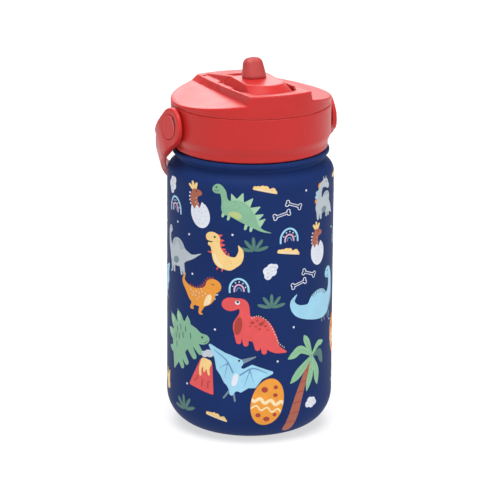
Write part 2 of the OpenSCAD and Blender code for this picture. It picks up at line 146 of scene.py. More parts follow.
class Shape:
    """A flat shape. measure(x, y) is below zero inside, and box is (left, right, low, high)."""

    def __init__(self, measure, box):
        self.measure, self.box = measure, box

    def join(self, other, soft=0):
        """Both shapes as one, with a soft fillet where they meet."""

        def measure(x, y):
            a, b = self.measure(x, y), other.measure(x, y)
            if soft == 0:
                return np.minimum(a, b)
            share = np.clip(0.5 + 0.5 * (b - a) / soft, 0, 1)
            return b + (a - b) * share - soft * share * (1 - share)

        p, q = self.box, other.box
        return Shape(measure, (min(p[0], q[0]), max(p[1], q[1]), min(p[2], q[2]), max(p[3], q[3])))

    def __or__(self, other):
        return self.join(other)

    def __sub__(self, other):
        return Shape(lambda x, y: np.maximum(self.measure(x, y), -other.measure(x, y)), self.box)

    def __and__(self, other):
        return Shape(lambda x, y: np.maximum(self.measure(x, y), other.measure(x, y)), self.box)

    def grown(self, by):
        """The shape with its edge moved out, or in where by is negative."""
        left, right, low, high = self.box
        box = (left - by, right + by, low - by, high + by)
        return Shape(lambda x, y: self.measure(x, y) - by, box)

    def outline(self, width):
        """A line of that width along the shape's edge."""
        return Shape(lambda x, y: np.abs(self.measure(x, y)), self.box).grown(width / 2)

    def placed(self, x, y, turn, size=1, flip=False):
        """The shape scaled, mirrored, turned anticlockwise in degrees and moved."""
        c, s = math.cos(math.radians(turn)), math.sin(math.radians(turn))
        side = -1 if flip else 1

        def measure(u, v):
            du, dv = u - x, v - y
            return self.measure((du * c + dv * s) / size * side, (dv * c - du * s) / size) * size

        corners = [(side * a * size, b * size) for a in self.box[:2] for b in self.box[2:]]
        us = [x + a * c - b * s for a, b in corners]
        vs = [y + a * s + b * c for a, b in corners]
        return Shape(measure, (min(us), max(us), min(vs), max(vs)))


def oval(x, y, rx, ry, turn=0):
    """An ellipse, its long axis turned anticlockwise in degrees."""

    def measure(u, v):
        length = np.hypot(u / rx, v / ry)
        slope = np.hypot(u / rx**2, v / ry**2)
        return np.where(slope > 1e-6, length * (length - 1) / np.maximum(slope, 1e-6), -min(rx, ry))

    return Shape(measure, (-rx, rx, -ry, ry)).placed(x, y, turn)


def smooth_path(points, per_span):
    """A curve through the points, each of them a tuple of any length."""
    p = np.asarray(points, float)
    if len(p) == 2:
        return p
    p = np.vstack([2 * p[0] - p[1], p, 2 * p[-1] - p[-2]])
    out = []
    for a, b, c, d in zip(p, p[1:], p[2:], p[3:]):
        square, cube = 2 * a - 5 * b + 4 * c - d, 3 * b - a - 3 * c + d
        for t in np.arange(per_span) / per_span:
            out.append(0.5 * (2 * b + (c - a) * t + square * t * t + cube * t**3))
    out.append(p[-2])
    return np.array(out)


def nearest(u, v, ax, ay, bx, by):
    """How far along a line from a to b its nearest spot lies, as a share, and how far off that is."""
    dx, dy = bx - ax, by - ay
    share = np.clip(((u - ax) * dx + (v - ay) * dy) / max(dx * dx + dy * dy, 1e-9), 0, 1)
    return share, np.hypot(u - ax - share * dx, v - ay - share * dy)


def box_round(p, by=0):
    """The box round some points, that much larger on every side."""
    return p[:, 0].min() - by, p[:, 0].max() + by, p[:, 1].min() - by, p[:, 1].max() + by


def limb(*points, per_span=6):
    """A smooth stroke through points of (x, y, half width)."""
    p = smooth_path(points, per_span)

    def measure(u, v):
        found = np.inf
        for (ax, ay, ar), (bx, by, br) in zip(p[:-1], p[1:]):
            share, gap = nearest(u, v, ax, ay, bx, by)
            found = np.minimum(found, gap - (ar + (br - ar) * share))
        return found

    return Shape(measure, box_round(p, p[:, 2].max()))


def polygon(*points):
    """A straight-sided shape."""
    p = np.asarray(points, float)

    def measure(u, v):
        found = np.inf
        inside = False
        for (ax, ay), (bx, by) in zip(p, np.roll(p, -1, 0)):
            found = np.minimum(found, nearest(u, v, ax, ay, bx, by)[1])
            if ay != by:
                inside ^= ((v < ay) != (v < by)) & (u < ax + (v - ay) * (bx - ax) / (by - ay))
        return np.where(inside, -found, found)

    return Shape(measure, box_round(p))


def several(shapes):
    """All the shapes as one."""
    out = shapes[0]
    for s in shapes[1:]:
        out = out | s
    return out


def ovals(*sizes):
    """Ellipses as one shape, each given as (x, y, rx, ry, turn)."""
    return several([oval(*size) for size in sizes])


def dots(*places, r):
    """Round dots at (x, y)."""
    return several([oval(x, y, r, r) for x, y in places])


def spikes(path, size, count):
    """Pointed plates along a path, standing to its left, size at their tallest."""
    p = smooth_path(path, 12)
    picks = np.linspace(0, len(p) - 1, count + 2).astype(int)[1:-1]
    made = []
    for n, i in enumerate(picks):
        along = Vector(p[min(i + 1, len(p) - 1)] - p[max(i - 1, 0)]).normalized()
        up = Vector((-along.y, along.x))
        h = size * (0.72 + 0.28 * math.sin(math.pi * (n + 1) / (count + 1)))
        base, w = Vector(p[i]) - up * 0.35 * h, h * 0.55
        tip = base + up * h * 1.35
        made.append(polygon(base - along * w, base + along * w, tip).grown(0.06 * h))
    return several(made)


# --- printed motifs, each a list of (ink, shape) from the bottom layer up ---


def eye(x, y, r):
    """Dark eye with a glint."""
    return [("dark", oval(x, y, r, r)), ("white", oval(x + 0.3 * r, y + 0.35 * r, 0.3 * r, 0.3 * r))]


def legs(drop, top, foot, *places):
    """Legs of that height, half as wide at top and foot as given, at (x, y, step sideways)."""
    return several([limb((x, y, top), (x + step, y - drop, foot)) for x, y, step in places])


def ribs(outer, inner, start, end, count):
    """Strokes from one ellipse in to another, each given as (x, y, rx, ry, half width)."""

    def spot(ring, angle):
        x, y, rx, ry, half = ring
        return (x + rx * math.cos(angle), y + ry * math.sin(angle), half)

    return several([limb(spot(outer, a), spot(inner, a)) for a in np.radians(np.linspace(start, end, count))])


def plated_walker():
    """Long-necked walker with pale plates down its back."""
    back = [(-4.8, 2.6), (-0.9, 3.6), (3.8, 0.2), (6.6, -5), (9.4, -8.8)]
    body = limb(
        (-5.4, 0.2, 3), (-0.9, -0.6, 4.3), (3.2, -3.9, 3.2), (6.2, -7.2, 1.5), (9.2, -9.6, 0.6),
        (13.4, -11, 0.12),
    )
    neck = limb((-10.4, 8.8, 1.8), (-8.2, 7.4, 1.5), (-7.3, 3.8, 1.5), (-6, -0.2, 2.8))
    feet = legs(2.2, 0.75, 0.6, (-7.3, -1.4, -0.9), (-5, -2.6, -0.7), (2.6, -6.6, -0.7), (4.8, -7.4, -0.5))
    green = body.join(neck, 1.2).join(oval(-10.6, 8.5, 2.6, 2, 20), 0.8)
    speckles = dots((-3.4, 2.2), (-1.6, 1.5), (0.2, 2), (-1, 2.9), (1.6, 0.7), (-2.4, 0.6), r=0.3)
    return [
        ("pale_green", spikes(back, 4.2, 6) | feet),
        ("green", green),
        ("lime", oval(-2.6, -3, 3, 1.8, -12) & green.grown(-0.3)),
        ("pale_green", speckles),
        *eye(-11.2, 9.2, 0.4),
        ("dark", limb((-12.4, 7.8, 0.12), (-11, 7.4, 0.14), (-10, 8, 0.12))),
    ]


def humped_walker():
    """Grey walker with a tall striped hump, a long tail and a bent neck."""
    body = limb((-8.4, -3, 3), (-3.4, -1.6, 4.8), (2, 0.2, 3.2), (7.6, 0.6, 1.2), (13.4, 3.2, 0.12))
    hump = oval(-3.6, 1.8, 6.2, 6, 20)
    neck = limb((-8.8, -2, 2.8), (-12.2, 3.2, 1.4), (-12.6, 8.6, 1.2), (-11.2, 10.6, 1.8))
    feet = legs(5.6, 1.3, 0.65, (-9.6, -4, 0.4), (-7.4, -4, 0.5), (-1, -4, 1), (0.8, -4, 1.4))
    stripes = ribs((-3.6, 1.8, 5.8, 5.6, 0.2), (-3.8, 1.2, 3.4, 3.2, 0.12), 24, 156, 10)
    return [
        ("grey", body.join(hump, 1.6).join(neck, 1.2) | feet),
        ("slate", oval(-5, -3.6, 2.8, 1.7, 18) | stripes),
        ("pale_grey", oval(-11, 9.8, 1, 0.8, -20)),
        *eye(-10.8, 11, 0.35),
    ]


def upright_walker():
    """Grey walker with orange and blue tufts down its neck and a small round hump."""
    body = limb((-3.4, -4, 3), (1, -3.6, 3.4), (5, -5, 2.2), (8.8, -8.8, 0.3))
    neck = limb((-3.6, -3, 2.6), (-3.4, 2.6, 1.5), (-1.6, 6.2, 1.6), (2.2, 6.6, 1.7))
    snout = limb((1.6, 6.8, 2), (4.4, 4.6, 1.2))
    hump = oval(2.4, -0.4, 3.4, 3)
    feet = legs(4, 1.2, 0.7, (-4.8, -5, 0.1), (-2.6, -5, 0.1), (2.8, -5, 0.1), (5, -5, 0.1))
    stripes = ribs((2.4, -0.4, 3, 2.7, 0.16), (2.4, -0.2, 1.5, 1.2, 0.1), 40, 140, 5)
    horns = polygon((-0.6, 8.2), (0.4, 8.2), (-0.3, 10.2)) | polygon((1.4, 8.4), (2.4, 8.2), (2.2, 10.2))
    return [
        ("orange", ovals((-3.4, 6.4, 1.4, 1.1, 40), (-5.8, -0.6, 1.3, 1.1))),
        ("blue", ovals((-5.2, 3.2, 1.2, 1), (-5.8, 1.4, 1.1, 0.9))),
        ("grey", body.join(hump, 1).join(neck, 1).join(snout, 0.8) | feet),
        ("grey", horns),
        ("slate", oval(0.4, -5.6, 2.2, 1.4) | stripes),
        *eye(2.2, 7, 0.35),
    ]


def sitting_lizard():
    """Yellow sitter with a curled tail and red spikes."""
    trunk = limb((-4.4, 4.4, 2.3), (-3.6, 0.4, 2.5), (-1.4, -3.8, 3.5), (2.4, -5.2, 2.9))
    tail = limb((2.4, -5.2, 2.9), (6.4, -3.6, 2), (7.8, 0.4, 1.2), (6.6, 3.6, 0.12))
    head = oval(-5.4, 6.2, 3.5, 2.6, -8) | limb((-7, 3.2, 0.9), (-4.4, 3.2, 1.6))
    back = [(-3, 9), (-1.9, 6.4), (-1.4, 3.4), (-0.8, 0.4), (1.2, -1.6), (4.4, -2)]
    return [
        ("red", spikes(back, 2, 6) | limb((-7.6, -0.6, 0.3), (-5.2, -0.8, 0.45))),
        ("red", limb((-2.6, -7, 0.35), (-3.4, -8.4, 0.3)) | limb((-0.6, -7.6, 0.35), (-0.9, -9, 0.3))),
        ("yellow", trunk.join(tail, 1.2).join(head, 1)),
        ("cream", limb((-4.6, -1.4, 0.5), (-3.6, -4.6, 0.8), (-1, -6.8, 0.5))),
        ("dark", limb((-8.8, 4.8, 0.18), (-7, 4.2, 0.3), (-5.2, 4.4, 0.12))),
        ("orange", dots((-3.2, 4.6), (1, -4.6), (2.4, -4), (3.6, -5), r=0.25)),
        *eye(-4.4, 6.6, 0.5),
    ]


def strolling_lizard():
    """Orange stroller with a cream belly, white dots and a raised tail."""
    trunk = limb(
        (6, 3, 2.6), (3.6, -0.6, 4), (-1.6, -1.6, 3.8), (-6.4, 1.2, 1.8), (-9.4, 4.2, 0.9),
        (-8.2, 7.6, 0.2),
    )
    body = trunk.join(oval(7.4, 4.6, 3.7, 3.1, -8), 1)
    rear_leg = limb((-2, -3.4, 1.3), (-4.4, -6.8, 0.6), (-3.2, -7.2, 0.4))
    front_leg = limb((2.2, -4, 1.5), (0.4, -8.4, 0.6), (1.7, -8.9, 0.4))
    arms = limb((7.2, 0.6, 0.35), (9.4, 0.9, 0.3)) | limb((6.4, -0.9, 0.35), (8.2, -1.2, 0.3))
    back = [(-6.4, 3.6), (-2, 2.4), (2, 4), (4.6, 7.4), (8.4, 8.2)]
    speckles = dots(
        (-4.6, 1), (-3, 0.2), (-1.4, 0.9), (0.2, 0.4), (1.8, 1.2), (-3.6, -1.2), (-1.8, -1),
        (0.2, -1.2), (2, -0.6), (-0.6, -2.4), (1.2, 2.4), (3.4, 0.6), r=0.3,
    )
    return [
        ("rust", spikes(back, 1, 11)),
        ("pale_blue", arms),
        ("orange", body | (rear_leg | front_leg)),
        ("cream", oval(4.6, -2.6, 1.5, 3.4, -24) & body.grown(-0.2)),
        ("white", speckles),
        ("dark", limb((6.4, 5.6, 0.13), (7.2, 5, 0.16), (8, 5.6, 0.13))),
        ("rust", dots((9.2, 4.2), (9.9, 3.4), r=0.2)),
    ]


def big_walker():
    """Large red long-neck with a spotted hump and small white spines."""
    head = oval(-10.2, 10.4, 4, 3.1, 6)
    neck = limb((-8.6, 10.8, 2.3), (-4.8, 10.6, 2.4), (-3.8, 6.4, 2.3), (-5.4, 1.4, 3.3))
    trunk = limb(
        (-4.6, -1, 4.2), (1.6, -1, 5.9), (6.6, -5.6, 4.2), (10.2, -10.2, 2.1), (15, -12.2, 0.5),
    )
    feet = legs(3, 1.7, 1.2, (-6.6, -3.6, 0.2), (-3.4, -4.6, 0.2), (1.6, -6.6, 0.4), (4.8, -8.4, 0.2))
    spine = [(-1.6, 4), (2.4, 5.4), (6.6, 2.6), (9.4, -2.4), (11.8, -7.8), (15.4, -10.9)]
    spots = [
        (-0.4, 2.2, 0.9), (1.8, 3.2, 0.6), (3.6, 1.6, 1.2), (1.2, 0.4, 0.5), (5.4, 0.6, 0.7),
        (2.8, -0.8, 0.6), (-1.4, 0.6, 0.5), (4.8, 2.8, 0.5), (6.4, -1.4, 0.5),
    ]
    red = trunk.join(neck, 1.6).join(head, 1) | feet
    beads = dots(*(smooth_path(spine, 4)[1:-1] * 0.985), r=0.27)
    return [
        ("dark", spikes(spine, 1.1, 18)),
        ("red", red),
        ("rust", oval(-6.6, 0.6, 1.7, 4.2, -8) & red.grown(-0.2)),
        ("rust", several([oval(x, y, r, 0.72 * r, 15) for x, y, r in spots])),
        ("white", beads),
        ("white", oval(-7, 11.4, 1.1, 1)),
        ("dark", oval(-6.9, 11.7, 0.6, 0.6)),
    ]


def paddling_walker():
    """Pale blue long-neck with a curled tail and a striped back."""
    trunk = limb(
        (-12, 4.6, 0.15), (-14.4, 1, 1.2), (-11.4, -3.2, 2.6), (-3.6, -5.2, 3.8), (5.6, -5.4, 4.8),
        (11.4, -3, 3.4),
    )
    hump = oval(1.6, -1.6, 7, 5.2, 4)
    neck = limb((11.4, -3, 3.4), (13, 2.4, 2.1), (12.8, 7, 1.9), (10.8, 9.6, 2.2))
    stripes = ribs((1.6, -1.6, 6.8, 5.2, 0.3), (1.6, -1.2, 5, 3, 0.12), 28, 132, 9)
    feet = legs(2.6, 0.4, 0.35, (4, -9.4, 0.3), (6.2, -9.4, 0.3), (9.8, -9.4, 0.3), (11.8, -9.4, 0.3))
    blue = trunk.join(hump, 1.5).join(neck, 1.4).join(oval(10.2, 9.4, 3, 2.4, 20), 0.8)
    flank = limb((15.4, -1, 0.4), (13.6, -5.2, 1.1), (10.8, -7.6, 0.4)) & blue.grown(-0.15)
    return [
        ("slate", feet),
        ("blue", blue),
        ("slate", stripes | flank),
        ("dark", limb((8.2, 8, 0.12), (9.6, 7.8, 0.16), (10.6, 8.4, 0.12))),
        *eye(9.8, 10.2, 0.45),
    ]


def plated_grazer():
    """Large green grazer with tall leaf-shaped plates and dark dashes."""
    body = limb((-9.6, -6.4, 1.6), (-6.6, -3, 3.6), (0, -0.6, 6), (6.6, -4.6, 3.4), (12.6, -8.6, 0.4))
    head = oval(-10.4, -7, 3, 2.1, 24)
    feet = legs(6.4, 2, 1.25, (-5.6, -4, -0.4), (-2.4, -4, 0.2), (3.2, -4, 0), (6, -4, 0.6))

    def plate(x, y, size, turn):
        way = math.radians(turn)
        tip = (x - 5.4 * size * math.sin(way), y + 5.4 * size * math.cos(way))
        return oval(x, y, 2.2 * size, 3.9 * size, turn).join(polygon((x - 1.2, y), (x + 1.2, y), tip), 0.6)

    plates = several([
        plate(-7, 1.4, 0.72, 34), plate(-3.4, 4.8, 0.95, 16), plate(1.4, 5.8, 1, -6),
        plate(5.8, 3, 0.9, -30), plate(9, -2, 0.66, -48),
    ])
    places = (
        (-4.6, 0.4), (-2.2, 2.4), (0.6, 2.8), (3.2, 1.2), (-1.6, -0.8), (1.2, 0), (4.8, -1.8), (-5.6, -3),
    )
    dashes = several([limb((x - 0.5, y + 0.8, 0.32), (x + 0.5, y - 0.8, 0.32)) for x, y in places])
    mouth = limb((-12.2, -8.2, 0.13), (-10.8, -8.6, 0.15), (-9.6, -8, 0.12))
    middles = ((-3.6, 6.6, 16), (1.6, 7.8, -6), (6.4, 4.6, -30))
    return [
        ("green", body.join(head, 1.2) | feet | plates),
        ("fern", dashes | mouth),
        ("pale_green", several([oval(x, y, 0.9, 2, turn) for x, y, turn in middles])),
        *eye(-10.6, -6.2, 0.5),
    ]


def winged_glider():
    """Pale blue winged reptile, wings spread, with a darker crest."""
    left = polygon(
        (0.6, 1), (-5, 8), (-14.6, 9.6), (-10.6, 5.4), (-8.4, 1), (-6, -0.8), (-3.6, -3.4),
        (-1, -4.2),
    )
    right = polygon(
        (-0.6, 1), (5.4, 7), (14.4, 6.2), (10.6, 3), (9, -1.4), (6.2, -2.2), (3.8, -5), (1, -4.2),
    )
    body = limb((0, 3.4, 1.8), (0, -2, 2.6), (0.4, -7.4, 0.9))
    head = limb((-0.4, 6.6, 1.8), (-4.8, 8.6, 0.9), (-8.6, 8.8, 0.2)).placed(1.2, 0.4, 10)
    crest = limb((0.6, 7.6, 1.1), (5.6, 11.4, 0.3))
    feet = limb((-1, -7, 0.5), (-2.4, -10.6, 0.35)) | limb((1.2, -7, 0.5), (2.8, -10.2, 0.35))
    blue = (left | right).grown(0.7).join(body, 1.6)
    arms = [
        limb((side * 1.6, 1.8, 0.35), (side * 6, 6.2, 0.3), (side * 12.6, y, 0.12))
        for side, y in ((-1, 8.6), (1, 5.6))
    ]
    fingers = [
        limb((side * 5, 5, 0.2), (side * x, y, 0.1))
        for side, x, y in ((-1, 8, 1.4), (-1, 4.4, -2), (1, 8.6, -0.6), (1, 4.6, -3.2))
    ]
    return [
        ("slate", feet | crest),
        ("blue", blue.join(head, 1)),
        ("sky", several(arms + fingers)),
        ("white", oval(0.1, -1, 1.3, 3)),
        *eye(-0.6, 7.8, 0.5),
    ]


def fire_mountain():
    """Red fire mountain with a yellow crest and a small puff of smoke."""
    cone = polygon((-6, -9), (6, -9), (2.6, 4), (-2.4, 4)).grown(0.7)
    flow = several([
        limb((-1.2, 4.2, 1.5), (-2.2, 0.4, 0.7), (-1.6, -2.6, 0.6)),
        limb((1.4, 4.2, 1.5), (1.6, 1.6, 0.8), (2.6, -1, 0.5)),
        limb((0, 4.4, 1.4), (0, -0.4, 0.5)),
    ])
    puff = ovals((0.6, 8.6, 2.2, 1.7), (-1.6, 7.4, 1.7, 1.4), (2.6, 10.6, 1.5, 1.2))
    cracks = several([
        limb((-4.2, -6.8, 0.25), (-2.8, -4.8, 0.25), (-3.4, -3.4, 0.15)),
        limb((3.6, -7.6, 0.25), (3, -5, 0.25), (3.8, -3.8, 0.15)),
        limb((0.2, -7.8, 0.25), (0, -4.4, 0.25)),
    ])
    return [("pale_grey", puff), ("red", cone), ("rust", cracks), ("yellow", flow)]


def spotted_egg():
    """Large orange egg with rust spots and two wavy bands."""
    egg = oval(0, -0.8, 7.4, 10.4).join(oval(0, 3.4, 5.6, 7.6), 3)

    def wave(height, shift, half):
        xs = np.linspace(-9, 9, 19)
        return limb(*[(x, height + 0.9 * math.sin(x * 1.25 + shift), half) for x in xs], per_span=3)

    spots = ovals(
        (-2.6, 5.6, 1.5, 1.3), (2.2, 7.4, 1, 0.9), (2.8, 3.8, 1.1, 0.9), (-3, -6.6, 1.2, 1),
        (1.2, -7.8, 1.5, 1.2), (4.4, -5.2, 0.9, 0.9),
    )
    return [
        ("orange", egg),
        ("cream", (wave(0.3, 0, 0.75) | wave(-3.2, 1.2, 0.35)) & egg.grown(-0.05)),
        ("rust", spots & egg.grown(-0.2)),
    ]


def hatchling():
    """Brown hatchling with a yellow tuft, half out of a cracked egg."""
    egg = oval(1, -3.8, 4.9, 6.2, 12)
    bite = polygon(
        (-6, 3.8), (-4.6, -1.4), (-3.2, 0.6), (-1.8, -1.8), (-0.2, 0.4), (1.2, -1.4), (2.8, 1.6),
        (4.2, 0.2), (6.2, 4), (8, 9), (-8, 9),
    )
    body = limb((-0.8, -0.8, 2.2), (-1.6, 3, 2.1), (-0.6, 5.6, 2))
    snout = oval(1.4, 5.8, 2, 1.4, -12)
    tuft = several([limb((-0.6, 6.8, 0.7), (x, y, 0.45)) for x, y in ((-3.2, 9.4), (-1.3, 10.6), (0.9, 9.8))])
    stipple = dots(
        (2.2, -3), (3.4, -5), (0.6, -6.2), (4.2, -2.4), (-1.4, -4.4), (1.8, -8), (0.6, -2.6),
        (-1.6, -2.6), (3.8, -6.8), (1.8, -4.8), (-0.4, -7.8), (3.2, -0.8), r=0.3,
    )
    return [
        ("yellow", tuft.grown(0.15)),
        ("white", dots((-3.6, 5.8), (-4, 4.2), (-4, 2.6), (-3.7, 1), (-3.2, -0.4), r=0.45)),
        ("brown", body.join(snout, 0.8)),
        ("white", (egg - bite).grown(0.1)),
        ("cream", dots((-0.6, 1.6), (-0.2, 3.4), (0.6, 1), r=0.28)),
        ("pale_grey", stipple),
        ("dark", oval(0.4, 6.4, 0.35, 0.35)),
    ]


def rainbow():
    """Three bows with dots between them."""

    def bow(radius, half):
        angles = np.radians(np.linspace(-8, 188, 9))
        return limb(*[(radius * math.cos(a), 1.25 * radius * math.sin(a), half) for a in angles], per_span=4)

    beads = [(3.05 * math.cos(a), 3.9 * math.sin(a)) for a in np.radians((20, 52, 84, 116, 150))]
    return [
        ("blue", bow(4.2, 0.42)),
        ("white", dots(*beads, r=0.32)),
        ("rose", bow(2.1, 0.36)),
        ("sky", bow(1, 0.22)),
    ]


def bones():
    """Two outlines of bones."""

    def bone(x, y, turn):
        ends = several([oval(sx * 3.6, sy * 0.72, 0.85, 0.8) for sx in (-1, 1) for sy in (-1, 1)])
        return limb((-3.4, 0, 0.5), (3.4, 0, 0.5)).join(ends, 0.3).outline(0.36).placed(x, y, turn)

    return [("white", bone(3.2, 1.6, -24)), ("white", bone(-3.2, -2, 10))]


def fern():
    """Five leaves from one stalk, with pale seeds along them."""
    leaves, seeds = [], []
    for way in np.radians((166, 128, 92, 54, 16)):
        c, s = math.cos(way), math.sin(way)
        widths = ((0.6, 0.22), (3, 0.8), (5.6, 0.78), (6.8, 0.3))
        leaves.append(limb(*[(d * c, d * s, half) for d, half in widths]))
        seeds += [(d * c, d * s) for d in (2.8, 3.8, 4.8, 5.8)]
    return [("fern", several(leaves)), ("moss", dots(*seeds, r=0.26))]


def cloud():
    """Round cloud with light stippling."""
    lobes = ((-2.4, -0.6, 1.7), (-0.8, 1, 2), (1.4, 0.6, 1.9), (2.7, -0.6, 1.4), (0.3, -1, 2))
    stipple = dots(
        (-1.6, 0.4), (-0.2, 1.4), (1.4, 1), (0.4, -0.6), (2.4, -0.4), (-2.4, -0.8), (-0.8, -1.4), (1.4, -1.4),
        (-1, 0), (0.6, 0.6), (2, 0.4), (-3.2, -0.6), (2.6, -1.2), r=0.32,
    )
    return [("white", several([oval(x, y, r, r) for x, y, r in lobes])), ("grey", stipple)]


def mound():
    """Long low bank of sand with a bumpy top."""
    bumps = (
        (-4.6, 0.2, 1), (-3.2, 0.3, 1.2), (-1.4, 0.8, 1.3), (0.2, 0.9, 1.3), (2, 0.2, 1), (3.4, 0.6, 1.3),
        (4.6, 0, 0.9),
    )
    bank = several([oval(x, y, r, r) for x, y, r in bumps]) | limb((-5, -0.2, 0.5), (5, -0.2, 0.6))
    flat = polygon((-7, -0.6), (7, -0.6), (7, 4), (-7, 4))
    return [("yellow", bank & flat), ("white", limb((-4, -0.1, 0.16), (0, 0, 0.16), (4.2, -0.1, 0.16)))]


def palm():
    """Leaning palm with a ringed trunk and long drooping leaves."""
    trunk = limb((-7.4, -21.6, 2.7), (-5.6, -13, 2.4), (-1.8, -2, 1.8), (3.6, 11, 0.8))
    rings = []
    for k in range(6):
        left = (-9.6 + 1.5 * k, -18.4 + 4.6 * k, 0.16)
        middle = (-6.6 + 1.45 * k, -17.8 + 4.6 * k, 0.22)
        right = (-3.4 + 1.3 * k, -18.2 + 4.6 * k, 0.16)
        rings.append(limb(left, middle, right))
    crown = (4.2, 11.6)

    def leaf(mid, tip, width):
        droop = (0.45 * mid[0] + 0.55 * tip[0], 0.45 * mid[1] + 0.55 * tip[1], width * 0.9)
        return limb((*crown, 0.4), (*mid, width), droop, (*tip, 0.12))

    front = [
        leaf((-2.4, 15.6), (-9.4, 12.2), 1.8), leaf((-1.6, 6.6), (-8, 0.6), 1.9),
        leaf((1.6, 17.4), (-0.8, 22), 1.5), leaf((8.4, 15.8), (12.8, 16.4), 1.3),
        leaf((3.6, 3.6), (1, -4.6), 1.6), leaf((7.2, 4.6), (8.2, -3), 1.7),
    ]
    veins = (
        ((-2.4, 15.5), (-8.6, 12.6)), ((-1.6, 6.5), (-7.4, 1.4)), ((1.6, 17.3), (-0.6, 21)),
        ((3.6, 3.6), (1.2, -3.8)), ((7.2, 4.6), (8.1, -2.2)),
    )
    return [
        ("brown", trunk),
        ("rust", several(rings) & trunk.grown(-0.05)),
        ("fern", leaf((9.4, 11.8), (12.4, 6.2), 1.7)),
        ("leaf", several(front)),
        ("moss", several([limb((*crown, 0.1), (*mid, 0.14), (*tip, 0.08)) for mid, tip in veins])),
    ]


def footprint():
    """Three-toed track."""
    toes = several([limb((0, -1, 1.3), (x, y, 0.5)) for x, y in ((-2.6, 2.6), (0, 4), (2.6, 2.6))])
    return [("yellow", toes.join(oval(0, -1.6, 1.7, 1.5), 0.5))]


def star_dot():
    """Small white dot between the figures."""
    return [("white", oval(0, 0, 0.5, 0.5))]


# --- printing on the bottle ---


def on_body(along, height, lift):
    """Points and outward directions on the bottle. along is round the wall from the print's middle and
    height is up the wall, or back down round the bottom corner, all in millimetres."""
    turn = along / BODY_R + VIEW_TURN
    slope = np.where(height < FOOT_FILLET, (FOOT_FILLET - height) / FOOT_FILLET, 0.0)
    radius = FOOT_R + (FOOT_FILLET + lift) * np.cos(slope)
    z = np.where(height < FOOT_FILLET, FOOT_FILLET - (FOOT_FILLET + lift) * np.sin(slope), height)
    points = np.stack([radius * np.sin(turn), -radius * np.cos(turn), z], -1)
    out = np.stack([np.cos(slope) * np.sin(turn), -np.cos(slope) * np.cos(turn), -np.sin(slope)], -1)
    return points, out


def cut_polygons():
    """For each way that a cell's four corners can lie in a shape: its outline, and its piece of edge."""
    made = []
    for case in range(16):
        inside = [case >> i & 1 for i in range(4)]
        walk = []
        for i in range(4):
            if inside[i]:
                walk.append(i)
            if inside[i] != inside[(i + 1) % 4]:
                walk.append(4 + i)
        edges = [(a, b) for a, b in zip(walk, walk[1:] + walk[:1]) if a >= 4 and b >= 4]
        made.append((walk, edges))
    return made


CELL_CASES = cut_polygons()
EDGE_NEAR = 1e-4  # closer than this to the edge counts as outside


def mesh_shape(shape):
    """Flat points, faces and edge segments of a shape: large facets inside and fine ones along its edge."""
    fine = INK_CELL / INK_SPLIT
    left, right, low, high = shape.box
    nx = int((right - left) / INK_CELL) + 3
    ny = int((high - low) / INK_CELL) + 3
    xs = left - INK_CELL + fine * np.arange(nx * INK_SPLIT + 1)
    ys = low - INK_CELL + fine * np.arange(ny * INK_SPLIT + 1)
    gx, gy = np.meshgrid(xs, ys, indexing="ij")
    value = shape.measure(gx, gy)
    value = np.where(np.abs(value) < EDGE_NEAR, EDGE_NEAR, value)
    solid = value < 0
    corners, cuts = [], []
    for i in range(nx):
        for j in range(ny):
            a, b = i * INK_SPLIT, j * INK_SPLIT
            block = solid[a : a + INK_SPLIT + 1, b : b + INK_SPLIT + 1]
            if block.all():
                e, f = a + INK_SPLIT, b + INK_SPLIT
                corners.append([(xs[a], ys[b]), (xs[e], ys[b]), (xs[e], ys[f]), (xs[a], ys[f])])
            elif block.any():
                cuts += [(a + p, b + q) for p in range(INK_SPLIT) for q in range(INK_SPLIT)]
    polygons, segments = [np.array(corners).reshape(-1, 4, 2)], []
    if cuts:
        cuts = np.array(cuts)
        steps = np.array([(0, 0), (1, 0), (1, 1), (0, 1)])
        at = cuts[:, None, :] + steps
        place = np.stack([xs[at[..., 0]], ys[at[..., 1]]], -1)
        depth = value[at[..., 0], at[..., 1]]
        after = np.roll(depth, -1, 1)
        with np.errstate(all="ignore"):
            share = np.clip(np.nan_to_num(depth / (depth - after)), 0.02, 0.98)[..., None]
        crossing = place + (np.roll(place, -1, 1) - place) * share
        spots = np.concatenate([place, crossing], 1)
        case = ((depth < 0) * (1, 2, 4, 8)).sum(1)
        for number, (walk, edges) in enumerate(CELL_CASES):
            chosen = spots[case == number]
            if walk and len(chosen):
                polygons.append(chosen[:, walk])
                segments += [chosen[:, list(e)] for e in edges]
    return polygons, segments


def weld(groups):
    """Shared points of several arrays of faces, and the faces by point number."""
    flat = np.concatenate([g.reshape(-1, g.shape[-1]) for g in groups])
    keys, back = np.unique(np.round(flat, 4), axis=0, return_inverse=True)
    back, faces, start = back.ravel(), [], 0
    for g in groups:
        count = g.shape[0] * g.shape[1]
        faces += back[start : start + count].reshape(g.shape[:2]).tolist()
        start += count
    return keys, [f for f in faces if len(set(f)) == len(f)]


def raised(flat, lift):
    """The flat points with their height over the coat as a third value."""
    return np.concatenate([flat, np.full(flat.shape[:-1] + (1,), lift)], -1)


